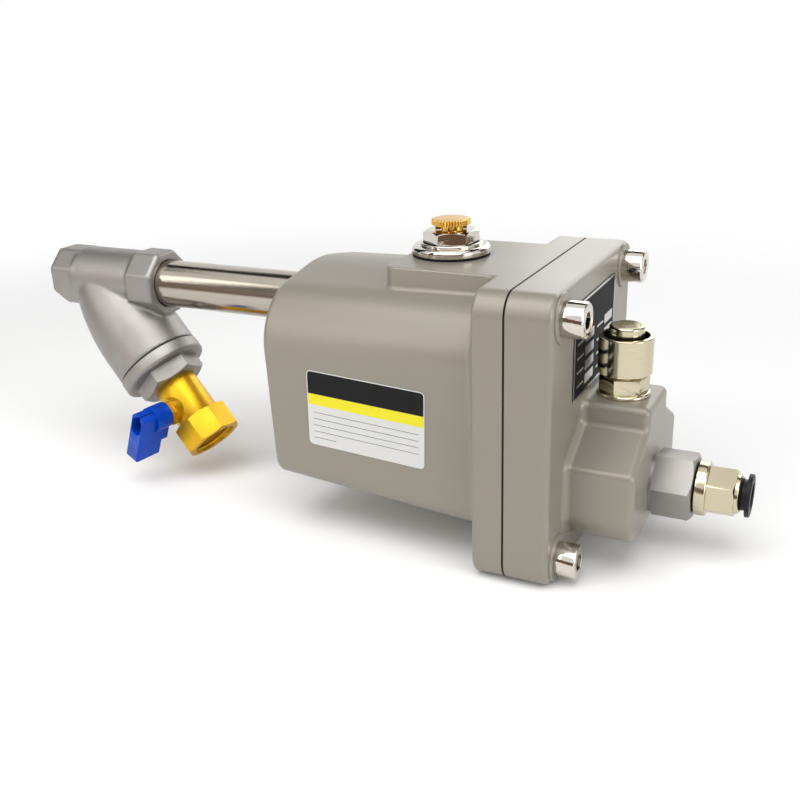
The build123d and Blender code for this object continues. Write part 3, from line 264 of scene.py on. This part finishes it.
span = tree.nodes.new("ShaderNodeVectorMath")
span.operation = "LENGTH"
fade = tree.nodes.new("ShaderNodeMapRange")
fade.interpolation_type = "SMOOTHSTEP"
fade.inputs["From Min"].default_value = TABLE_SOLID_R
fade.inputs["From Max"].default_value = TABLE_CLEAR_R
clear = tree.nodes.new("ShaderNodeBsdfTransparent")
join = tree.nodes.new("ShaderNodeMixShader")
tree.links.new(place.outputs["Object"], centred.inputs["Vector"])
tree.links.new(centred.outputs["Vector"], span.inputs[0])
tree.links.new(span.outputs["Value"], fade.inputs["Value"])
tree.links.new(fade.outputs["Result"], join.inputs[0])
tree.links.new(sheet_shader.outputs[0], join.inputs[1])
tree.links.new(clear.outputs[0], join.inputs[2])
tree.links.new(join.outputs[0], tree.nodes["Material Output"].inputs["Surface"])
flat.materials.append(paper)
print("table radius", TABLE_R, "solid to", TABLE_SOLID_R)

# %% [markdown]
# ## Finishes
# Every finish is a small recipe on the Principled shader: a base colour, a second
# colour mixed in by soft noise, a roughness that wanders, and fine relief for the
# grain. The helper below holds what all recipes share.

# %% A helper for finishes
def finish(name, colour, rough, metal=0.0, tint=None, patch=0.03, rough_swing=0.06, grain=0.0008,
           relief=0.05, coat=0.0, stretch=(1, 1, 1), specular=0.5):
    """A material whose colour, roughness and relief wander with object-space noise.

    patch and grain are the sizes in metres of the broad variation and of the fine relief.
    """
    material = bpy.data.materials.new(name)
    material.use_nodes = True
    tree = material.node_tree
    shader = tree.nodes["Principled BSDF"]
    place = tree.nodes.new("ShaderNodeTexCoord")
    spread = tree.nodes.new("ShaderNodeMapping")
    spread.inputs["Scale"].default_value = stretch
    tree.links.new(place.outputs["Object"], spread.inputs["Vector"])
    broad = tree.nodes.new("ShaderNodeTexNoise")
    broad.inputs["Scale"].default_value = 1 / patch
    broad.inputs["Detail"].default_value = 4.0
    tree.links.new(spread.outputs["Vector"], broad.inputs["Vector"])
    blend = tree.nodes.new("ShaderNodeMix")
    blend.data_type = "RGBA"
    blend.inputs["A"].default_value = (*colour, 1)
    blend.inputs["B"].default_value = (*(tint or [c * 0.88 for c in colour]), 1)
    tree.links.new(broad.outputs["Fac"], blend.inputs["Factor"])
    tree.links.new(blend.outputs["Result"], shader.inputs["Base Color"])
    swing = tree.nodes.new("ShaderNodeMapRange")
    swing.inputs["To Min"].default_value = rough - rough_swing / 2
    swing.inputs["To Max"].default_value = rough + rough_swing / 2
    tree.links.new(broad.outputs["Fac"], swing.inputs["Value"])
    tree.links.new(swing.outputs["Result"], shader.inputs["Roughness"])
    fine = tree.nodes.new("ShaderNodeTexNoise")
    fine.inputs["Scale"].default_value = 1 / grain
    fine.inputs["Detail"].default_value = 3.0
    tree.links.new(spread.outputs["Vector"], fine.inputs["Vector"])
    bump = tree.nodes.new("ShaderNodeBump")
    bump.inputs["Strength"].default_value = relief
    bump.inputs["Distance"].default_value = grain / 2
    tree.links.new(fine.outputs["Fac"], bump.inputs["Height"])
    tree.links.new(bump.outputs["Normal"], shader.inputs["Normal"])
    shader.inputs["Metallic"].default_value = metal
    shader.inputs["Coat Weight"].default_value = coat
    shader.inputs["Coat Roughness"].default_value = 0.08
    shader.inputs["Specular IOR Level"].default_value = specular
    return material


# %% Mix the finishes
finishes = {
    "painted_grey": finish("warm_grey_paint", (0.270, 0.248, 0.206), 0.34, metal=0.2, patch=0.05,
                           tint=(0.244, 0.224, 0.188), grain=0.0007, relief=0.10),
    "cast_stainless": finish("blasted_stainless", (0.34, 0.325, 0.305), 0.42, metal=0.8, patch=0.012,
                             tint=(0.27, 0.255, 0.24), grain=0.0004, relief=0.30, rough_swing=0.12),
    "stainless": finish("polished_stainless", (0.50, 0.455, 0.39), 0.14, metal=1.0, patch=0.01,
                        tint=(0.42, 0.38, 0.32), grain=0.0006, relief=0.04, stretch=(1, 20, 20)),
    "chrome_plate": finish("chrome_plate", (0.66, 0.62, 0.56), 0.07, metal=1.0, patch=0.01,
                           tint=(0.62, 0.58, 0.52), rough_swing=0.05, grain=0.002, relief=0.05),
    "nickel_plate": finish("champagne_nickel", (0.58, 0.52, 0.37), 0.17, metal=1.0, patch=0.01,
                           tint=(0.58, 0.52, 0.38), grain=0.0015, relief=0.05),
    "yellow_brass": finish("yellow_brass", (0.76, 0.45, 0.014), 0.36, metal=0.75, patch=0.006,
                           tint=(0.60, 0.33, 0.010), rough_swing=0.12, grain=0.0006, relief=0.12),
    "brass": finish("turned_brass", (0.80, 0.50, 0.12), 0.22, metal=1.0, patch=0.005,
                    tint=(0.66, 0.38, 0.08), grain=0.0005, relief=0.08),
    "blue_plastic": finish("blue_plastic", (0.0, 0.030, 0.36), 0.26, patch=0.012,
                           tint=(0.0, 0.075, 0.50), grain=0.0012, relief=0.04, specular=0.18),
    "black_plastic": finish("black_plastic", (0.010, 0.010, 0.011), 0.42, patch=0.01, relief=0.08,
                            specular=0.2),
    "black_rubber": finish("black_rubber", (0.010, 0.010, 0.010), 0.7, patch=0.01, grain=0.0005, relief=0.2,
                           specular=0.12),
    "white_plastic": finish("seat_plastic", (0.78, 0.78, 0.75), 0.4, patch=0.01, grain=0.001, relief=0.03),
    "spring_steel": finish("drawn_steel", (0.55, 0.54, 0.52), 0.28, metal=1.0, patch=0.004,
                           grain=0.0004, relief=0.1),
    "plate_print": finish("plate_black", (0.008, 0.008, 0.009), 0.45, patch=0.01, grain=0.001, relief=0.02,
                          specular=0.04),
    "label_print": finish("label_film", (0.66, 0.66, 0.64), 0.38, patch=0.02, grain=0.002, relief=0.02,
                          specular=0.3),
}
for name, cad in nodes.items():
    cad.data.materials.clear()
    cad.data.materials.append(finishes[slot_of[name]])
print("finishes", len(finishes))


# %% A helper that puts a piece on its body
def mounted(name, mesh, node, material=None, replaces=False):
    """A new piece that rides with a node's body, wears its finish, and may stand for it."""
    piece = bpy.data.objects.new(name, mesh)
    bpy.context.scene.collection.objects.link(piece)
    mesh.materials.clear()
    mesh.materials.append(material or finishes[slot_of[node]])
    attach(piece, body_of[node])
    if replaces:
        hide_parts(node)
    return piece


# %% [markdown]
# ## Machined edges
# No real edge is perfectly sharp: a hexagon off the lathe, a plated nut and a
# moulded lever all end in a small round that catches the light. A Bevel modifier
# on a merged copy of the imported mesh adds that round, with its normals hardened so
# that the flats stay flat. It is the quickest way, and keeps every size.

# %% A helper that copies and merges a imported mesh
WELD = 2e-6
FLAT_ANGLE = math.radians(0.4)
SHARP_ANGLE = math.radians(28)


def merged(node):
    """A copy of a node's mesh with its loose triangles joined and flat areas made one face."""
    shell = bmesh.new()
    shell.from_mesh(nodes[node].data)
    bmesh.ops.remove_doubles(shell, verts=shell.verts, dist=WELD)
    bmesh.ops.dissolve_limit(shell, angle_limit=FLAT_ANGLE, verts=shell.verts, edges=shell.edges)
    mesh = bpy.data.meshes.new(node + "_merged")
    shell.to_mesh(mesh)
    shell.free()
    return mesh


def softened(node, width, segments=3):
    """Stands for a node with its sharp edges rounded by a width in millimetres."""
    mesh = merged(node)
    mesh.shade_smooth()
    piece = mounted(node + "_rounded", mesh, node, replaces=True)
    bevel = piece.modifiers.new("round", "BEVEL")
    bevel.width = width * MM
    bevel.segments = segments
    bevel.limit_method = "ANGLE"
    bevel.angle_limit = SHARP_ANGLE
    bevel.use_clamp_overlap = True
    bevel.harden_normals = True
    return piece


# %% Round the machined pieces
EDGE_ROUNDS = {
    "vent_plug": 0.45, "valve_end": 0.35, "outlet_adapter": 0.5, "fitting_body": 0.3, "button_base": 0.3,
    "cover_screws": 0.15, "strainer_cap": 0.5, "valve_handle": 0.5, "valve_body": 0.4, "vent_screw": 0.2,
    "release_collar": 0.25, "handle_screw": 0.15,
}
for node, width in EDGE_ROUNDS.items():
    softened(node, width)
print("rounded", len(EDGE_ROUNDS))

# %% [markdown]
# ## The cast strainer
# The strainer's body is an investment casting: its barrel, leg and octagons flow
# into each other, and it comes out of the blaster with a fine matt grain. A voxel
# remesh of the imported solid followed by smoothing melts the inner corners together
# as the wax did, which no bevel does where two round forms meet.

# %% Melt the casting's corners
CAST_VOXEL = 0.62
CAST_SMOOTHING = 9


def recast(node, voxel, rounds):
    """Stands for a node with a remeshed and smoothed copy, kept as a plain mesh.

    The voxel is in millimetres, and rounds is how often the points are evened out.
    """
    source = bpy.data.objects.new(node + "_source", merged(node))
    bpy.context.scene.collection.objects.link(source)
    grid = source.modifiers.new("grid", "REMESH")
    grid.mode = "VOXEL"
    grid.voxel_size = voxel * MM
    grid.use_smooth_shade = True
    melt = source.modifiers.new("melt", "SMOOTH")
    melt.factor = 0.5
    melt.iterations = rounds
    bpy.context.view_layer.update()
    final = source.evaluated_get(bpy.context.evaluated_depsgraph_get())
    mesh = bpy.data.meshes.new_from_object(final)
    bpy.data.objects.remove(source)
    mesh.name = node + "_cast"
    mesh.shade_smooth()
    return mounted(node + "_cast", mesh, node, replaces=True)


casting = recast("strainer_body", CAST_VOXEL, CAST_SMOOTHING)
print("casting faces", len(casting.data.polygons))

# %% [markdown]
# ## Screw threads
# Both open ends are tapped. A thread is one small ridge carried round a helix, so
# its section runs along the rows of a grid, and it fades out at both ends as a tap
# leaves it.

# %% Cut the threads
PIPE_PITCH = 1.81
PIPE_DEPTH = 0.9
PIPE_ROOT = 0.06
FLANKS = np.array([(PIPE_ROOT, -0.46), (-1.0, -0.06), (-1.0, 0.06), (PIPE_ROOT, 0.46)])
THREAD_STEPS = 56


def along(axis):
    """Two directions at right angles to an axis and to each other."""
    side = np.cross(axis, (0.0, 0.0, 1.0) if abs(axis[2]) < 0.9 else (1.0, 0.0, 0.0))
    side = side / np.linalg.norm(side)
    return side, np.cross(axis, side)


def thread(name, node, mount, start, length):
    """A ridge inside a bore, from a depth below its face.

    At angle t the ridge stands t over a full turn pitches deep. Its section has a
    flat crest one depth inside the wall and flanks that run out to the wall, and
    the crest's depth is multiplied by a ramp from 0 to 1 over the first and last
    half turns.
    """
    axis = np.array(mounts[mount]["axis"])
    face = np.array(mounts[mount]["pos_m"])
    wall = mounts[mount]["dims"]["r_mm"]
    side, other = along(axis)
    turns = length / PIPE_PITCH
    steps = int(turns * THREAD_STEPS)
    angle = np.linspace(0, 2 * np.pi * turns, steps)
    ramp = np.clip(np.minimum(angle, angle[-1] - angle) / np.pi, 0.02, 1)
    depth = np.where(FLANKS[None, :, 0] < 0, FLANKS[None, :, 0] * ramp[:, None] * PIPE_DEPTH, PIPE_ROOT)
    radius = (wall + depth) * MM
    sink = (start + PIPE_PITCH * (angle[:, None] / (2 * np.pi) + FLANKS[None, :, 1])) * MM
    round_dir = np.cos(angle)[:, None] * side + np.sin(angle)[:, None] * other
    points = face + radius[..., None] * round_dir[:, None, :] - sink[..., None] * axis
    mesh = outward(grid_mesh(name, points, smooth=False))
    return mounted(name, mesh, node)


threads = [
    thread("drain_thread", "valve_end", "blowdown_outlet", 1.4, 8.0),
    thread("inlet_thread", "strainer_body", "inlet", 1.4, 10.5),
]
print("thread faces", [len(piece.data.polygons) for piece in threads])

# %% [markdown]
# ## The vent screw's knurl
# Fingers turn the brass disc on the vent, so its rim is knurled. A turned ring
# whose radius rises and falls along the rim like a row of teeth gives real ridges
# that the light can catch, where bump alone would leave a smooth outline.

# %% Knurl the vent screw's rim
KNURL_TEETH = 38
KNURL_DEPTH = 0.55
vent_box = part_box("vent_screw")
vent_top = vent_box[1].z / MM
vent_at = np.array(joints["vent_turn"]["pos_m"]) / MM
head_r = (vent_box[1].x - vent_box[0].x) / 2 / MM


def knurled_ring():
    """A closed ring about the vent's axis: the section's six corners run round the
    rim, and outer ones gain the knurl's depth times a triangle wave of the angle."""
    angle = np.linspace(0, 2 * np.pi, KNURL_TEETH * 4 + 1)[:-1]
    wave = np.abs((angle * KNURL_TEETH / (2 * np.pi)) % 1 * 2 - 1)
    section = np.array([
        (-0.8, -2.35, 0), (0.0, -2.35, 0.3), (0.05, -2.1, 1),
        (0.05, -0.35, 1), (0.0, -0.1, 0.3), (-0.8, -0.1, 0),
    ])
    radius = head_r + section[:, 0, None] + KNURL_DEPTH * section[:, 2, None] * wave
    height = np.broadcast_to(vent_top + section[:, 1, None], radius.shape)
    points = np.stack([vent_at[0] + radius * np.cos(angle), vent_at[1] + radius * np.sin(angle), height], -1)
    return outward(grid_mesh("vent_knurl", points * MM, wrap_rows=True, smooth=False))


knurl = mounted("vent_knurl", knurled_ring(), "vent_screw")
print("knurl teeth", KNURL_TEETH)


# %% Turn the raised step under the vent's hexagon
RING_STEPS = 128


def turned_ring(name, at, section):
    """A closed ring about an upright axis: a section of radius and height in
    millimetres, carried once round the circle."""
    angle = np.linspace(0, 2 * np.pi, RING_STEPS + 1)[:-1]
    radius, height = section[:, :1], np.broadcast_to(section[:, 1:], (len(section), RING_STEPS))
    points = np.stack([at[0] + radius * np.cos(angle), at[1] + radius * np.sin(angle), height], -1)
    return outward(grid_mesh(name, points * MM, wrap_rows=True, smooth=True))


STEP_R, STEP_W, STEP_H, STEP_LIP = 12.3, 3.0, 1.5, 0.6
STEP_RISE = 2.6
step_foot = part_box("vent_seal")[1].z / MM + STEP_RISE
step_top = step_foot + STEP_H
lip = np.linspace(0, np.pi / 2, 7)
step_section = np.concatenate([
    [(STEP_R - STEP_W, step_foot), (STEP_R, step_foot)],
    np.stack([STEP_R + STEP_LIP * (np.cos(lip) - 1), step_top + STEP_LIP * (np.sin(lip) - 1)], -1),
    [(STEP_R - STEP_W, step_top)],
])
step = mounted("vent_step", turned_ring("vent_step", vent_at, step_section), "vent_plug")
print("step faces", len(step.data.polygons))

# %% [markdown]
# ## Label and plate
# A film label is stuck on the chamber's near side and a printed plate is held on
# the cover. Each printed field is a thin sheet with rounded corners, laid a few
# hundredths of a millimetre over the last, so the colours have clean edges that no
# noise or image has to draw. The fields are left blank.

# %% A helper for printed fields
def sheet_frame(node):
    """Middle, long, short and outward directions of a flat node's own shape.

    The directions are the eigenvectors of the spread of its points, longest first.
    """
    points = np.empty(len(nodes[node].data.vertices) * 3, np.float32)
    nodes[node].data.vertices.foreach_get("co", points)
    points = points.reshape(-1, 3).astype(float)
    middle = (points.min(0) + points.max(0)) / 2
    _, _, axes = np.linalg.svd(np.unique(points.round(6), axis=0) - middle, full_matrices=False)
    return middle, axes


def field(name, node, plane, box, corner, lift, material):
    """A flat plate over a box of the plane's own coordinates in millimetres.

    Each corner is a quarter circle of its own radius, and the outline runs round the
    columns of the grid with the foot as one row and the top as the other.
    """
    middle, along_x, along_y, normal = plane
    left, foot, right_end, top = box
    turns = np.radians(np.linspace(0, 90, 9))
    outline = []
    for i, (x, y) in enumerate(((right_end, top), (left, top), (left, foot), (right_end, foot))):
        r = corner[i]
        cx = x - r if i in (0, 3) else x + r
        cy = y - r if i in (0, 1) else y + r
        angle = turns + i * np.pi / 2
        outline.append(np.stack([cx + r * np.cos(angle), cy + r * np.sin(angle)], -1))
    outline = np.concatenate(outline)
    flat = middle + MM * (outline[:, :1] * along_x + outline[:, 1:] * along_y)
    points = np.stack([flat, flat + normal * lift * MM])
    mesh = outward(grid_mesh(name, points, smooth=False))
    return mounted(name, mesh, node, material)


# %% Print the side label
middle, axes = sheet_frame("side_label")
along_x = axes[0] * np.sign(axes[0][0])
along_y = axes[1] * np.sign(axes[1][2])
normal = axes[2] * -np.sign(axes[2][1])
LABEL = (middle, along_x, along_y, normal)
HALF_W, HALF_H, RIM, CORNER = 25.4, 16.0, 0.4, 1.5
CUT, SQUARE = 0.01, 0.05
FILM_LIFT, RULE_LIFT, BAND_LIFT = 0.11, 0.13, 0.14
BAND_FOOT, YELLOW_FOOT, BAND_GAP = 6.2, 1.6, 0.05
RULES, RULE_PITCH, RULE_TOP, RULE_T = 5, 2.75, -1.6, 0.22
RULE_INSET, LAST_RULE = 2.0, 12.0
black_ink = finish("black_ink", (0.008, 0.008, 0.008), 0.34, patch=0.01, grain=0.001, relief=0.02,
                   specular=0.15)
yellow_ink = finish("yellow_ink", (0.78, 0.70, 0.02), 0.36, patch=0.01, grain=0.001, relief=0.02,
                    tint=(0.72, 0.64, 0.02), specular=0.25)
grey_ink = finish("grey_ink", (0.10, 0.10, 0.10), 0.4, patch=0.01, grain=0.001, relief=0.02)
inner_w, inner_h = HALF_W - RIM, HALF_H - RIM
film = field("label_film", "side_label", LABEL, (-HALF_W, -HALF_H, HALF_W, HALF_H),
             (CORNER + RIM,) * 4, FILM_LIFT, finishes["label_print"])
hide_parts("side_label")
field("label_black_band", "side_label", LABEL, (-inner_w, BAND_FOOT, inner_w, inner_h),
      (CORNER, CORNER, CUT, CUT), BAND_LIFT, black_ink)
field("label_yellow_band", "side_label", LABEL, (-inner_w, YELLOW_FOOT, inner_w, BAND_FOOT - BAND_GAP),
      (CUT,) * 4, BAND_LIFT, yellow_ink)
for row in range(RULES):
    last = row == RULES - 1
    reach = -inner_w + LAST_RULE if last else inner_w - RULE_INSET
    height = RULE_TOP - row * RULE_PITCH
    field(f"label_rule_{row}", "side_label", LABEL, (-inner_w + RULE_INSET, height - RULE_T, reach, height),
          (SQUARE,) * 4, RULE_LIFT, grey_ink)
print("label bands", 2, "and rules", RULES)

# %% Print the plate
middle, _ = sheet_frame("nameplate")
PLATE_T = 0.2
plate_face = np.array((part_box("nameplate")[0].x + PLATE_T * MM, 0.0, middle[2]))
PLATE = (plate_face, np.array((0.0, 1.0, 0.0)), np.array((0.0, 0.0, 1.0)), np.array((1.0, 0.0, 0.0)))
bare_metal = finish("plate_metal", (0.62, 0.61, 0.58), 0.30, metal=1.0, patch=0.01, grain=0.0006, relief=0.05)
PLATE_W, PLATE_H, PLATE_RIM = 26.4, 18.2, 0.9
ETCH_LIFT = 0.26
FIELD_W, FIELD_H = 11.0, 3.6
FIELD_ROWS, FIELD_PITCH, FIELD_FOOT = 4, 5.4, -15.2
FIELD_LEFTS = (-12.5, 12.5)
MARK_W, MARK_H, MARK_GAP, MARK_RISE = 8.0, 0.8, 2.0, 1.4
plate_boxes = {
    "plate_rim_top": (-PLATE_W, PLATE_H - PLATE_RIM, PLATE_W, PLATE_H),
    "plate_rim_foot": (-PLATE_W, -PLATE_H, PLATE_W, -PLATE_H + PLATE_RIM),
    "plate_rim_near": (-PLATE_W, -PLATE_H + PLATE_RIM, -PLATE_W + PLATE_RIM, PLATE_H - PLATE_RIM),
    "plate_rim_far": (PLATE_W - PLATE_RIM, -PLATE_H + PLATE_RIM, PLATE_W, PLATE_H - PLATE_RIM),
}
for name, box in plate_boxes.items():
    field(name, "nameplate", PLATE, box, (SQUARE,) * 4, ETCH_LIFT, bare_metal)
for row in range(FIELD_ROWS):
    foot = FIELD_FOOT + row * FIELD_PITCH
    for column, left in enumerate(FIELD_LEFTS):
        blank = (left, foot, left + FIELD_W, foot + FIELD_H)
        mark_right = left - MARK_GAP
        mark_foot = foot + MARK_RISE
        mark = (mark_right - MARK_W, mark_foot, mark_right, mark_foot + MARK_H)
        field(f"plate_field_{column}_{row}", "nameplate", PLATE, blank, (0.5,) * 4, ETCH_LIFT, bare_metal)
        field(f"plate_mark_{column}_{row}", "nameplate", PLATE, mark, (0.1,) * 4, ETCH_LIFT, bare_metal)
print("plate fields", 2 * FIELD_ROWS * len(FIELD_LEFTS), "and rims", len(plate_boxes))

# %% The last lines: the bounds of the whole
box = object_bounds()
